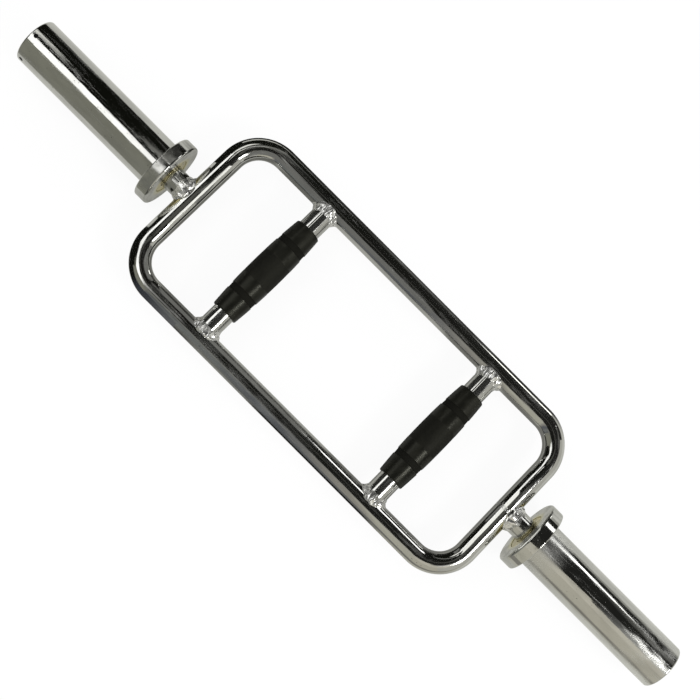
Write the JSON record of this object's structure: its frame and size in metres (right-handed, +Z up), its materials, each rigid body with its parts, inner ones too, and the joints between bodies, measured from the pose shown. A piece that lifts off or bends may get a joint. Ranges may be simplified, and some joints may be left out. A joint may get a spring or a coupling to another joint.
{
  "type": "triceps bar",
  "caption": "Short chromed lifting bar: a rounded rectangular tube frame with parallel rubber grips across it and a free-turning collared plate sleeve at each end.",
  "frame": {"origin": "centre of the whole bar, on the common axis of the two sleeves", "axes": "+X along the bar towards the right sleeve, +Y across the frame, +Z up, square to the flat frame"},
  "size_m": [0.864, 0.2052, 0.0734],
  "materials": {
    "frame_chrome": "bright chrome plate over bent steel tube, lightly scratched along the tube",
    "handle_chrome": "bright chrome plate over steel tube",
    "grip_rubber": "black moulded rubber, satin ends and a finely textured middle",
    "weld_chrome": "rippled weld bead, chromed over",
    "shaft_chrome": "turned steel bar, chromed where it shows",
    "plain_steel": "plain steel, oiled",
    "spring_steel": "blackened spring steel",
    "collar_chrome": "chromed rim, satin turned faces",
    "sleeve_chrome": "bright chrome plate, scuffed by plates",
    "bushing_bronze": "turned bronze, dull with oil",
    "plug_steel": "turned and satin",
    "screw_black": "black oxide"
  },
  "bodies": {
    "frame": {"frame_rail_front": "frame_chrome", "frame_rail_rear": "frame_chrome", "handle_tube_left": "handle_chrome", "handle_tube_right": "handle_chrome", "grip_left": "grip_rubber", "grip_right": "grip_rubber", "handle_weld_left_front": "weld_chrome", "handle_weld_left_rear": "weld_chrome", "handle_weld_right_front": "weld_chrome", "handle_weld_right_rear": "weld_chrome", "shaft_weld_left": "weld_chrome", "shaft_weld_right": "weld_chrome", "sleeve_shaft_left": "shaft_chrome", "sleeve_shaft_right": "shaft_chrome", "thrust_washer_left": "plain_steel", "thrust_washer_right": "plain_steel", "retaining_ring_left": "spring_steel", "retaining_ring_right": "spring_steel"},
    "left_sleeve": {"collar_left": "collar_chrome", "sleeve_left": "sleeve_chrome", "inner_bushing_left": "bushing_bronze", "outer_bushing_left": "bushing_bronze", "end_plug_left": "plug_steel", "plug_screw_left_1": "screw_black", "plug_screw_left_2": "screw_black"},
    "right_sleeve": {"collar_right": "collar_chrome", "sleeve_right": "sleeve_chrome", "inner_bushing_right": "bushing_bronze", "outer_bushing_right": "bushing_bronze", "end_plug_right": "plug_steel", "plug_screw_right_1": "screw_black", "plug_screw_right_2": "screw_black"}
  },
  "joints": [
    {"name": "left_sleeve_spin", "type": "hinge", "parent": "frame", "child": "left_sleeve", "pos_m": [-0.34, 0, 0], "axis": [1, 0, 0], "continuous": true},
    {"name": "right_sleeve_spin", "type": "hinge", "parent": "frame", "child": "right_sleeve", "pos_m": [0.34, 0, 0], "axis": [1, 0, 0], "continuous": true}
  ]
}
